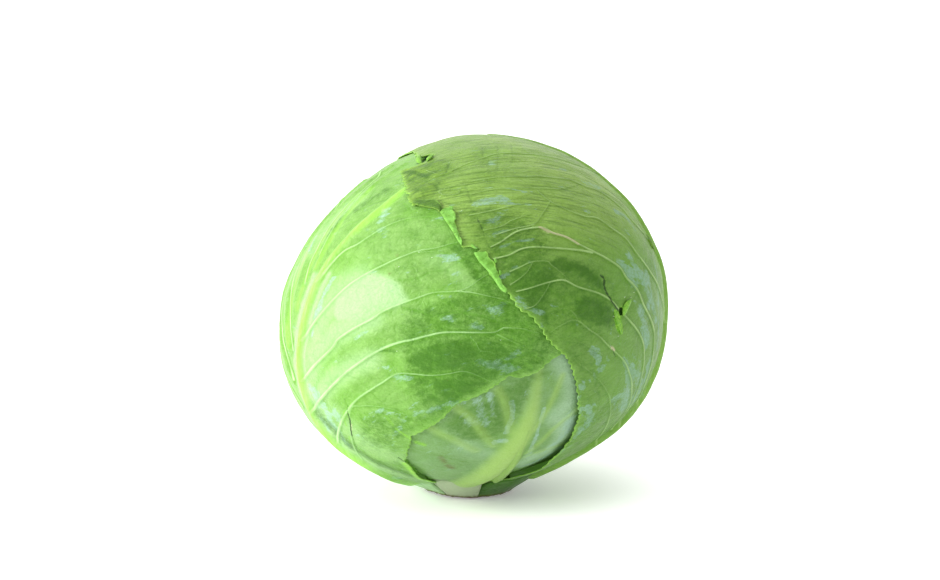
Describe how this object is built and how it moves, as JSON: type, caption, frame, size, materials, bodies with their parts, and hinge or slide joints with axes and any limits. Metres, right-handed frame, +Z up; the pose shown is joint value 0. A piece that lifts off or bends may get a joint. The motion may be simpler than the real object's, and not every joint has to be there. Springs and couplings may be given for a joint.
{
  "type": "cabbage head",
  "caption": "Round, slightly wide green cabbage head standing on its cut stump, with large veined wrapper leaves folded over a dense heart; waved, curled and torn leaf margins.",
  "frame": {"origin": "centre of the stump's cut face, which the head stands on", "axes": "+Z up through the head, -Y the front that shows the inner leaf's broad midrib, +X the side of the outermost leaf"},
  "size_m": [0.1814, 0.1736, 0.1626],
  "materials": {
    "stump": "matt cut stem, whitish sides and a dark brown dried rim",
    "heart_leaves": "pale green waxy leaf",
    "inner_leaf": "waxy leaf, pale yellow-green ribs, bluish bloom",
    "left_leaf": "waxy bright green leaf with pale veins",
    "right_leaf": "waxy mid to dark green leaf with pale veins and bluish bloom"
  },
  "bodies": {
    "root": {"stump": "stump", "heart": "heart_leaves", "leaf_front": "inner_leaf", "leaf_back": "inner_leaf", "leaf_left": "left_leaf", "leaf_right": "right_leaf"}
  },
  "joints": []
}
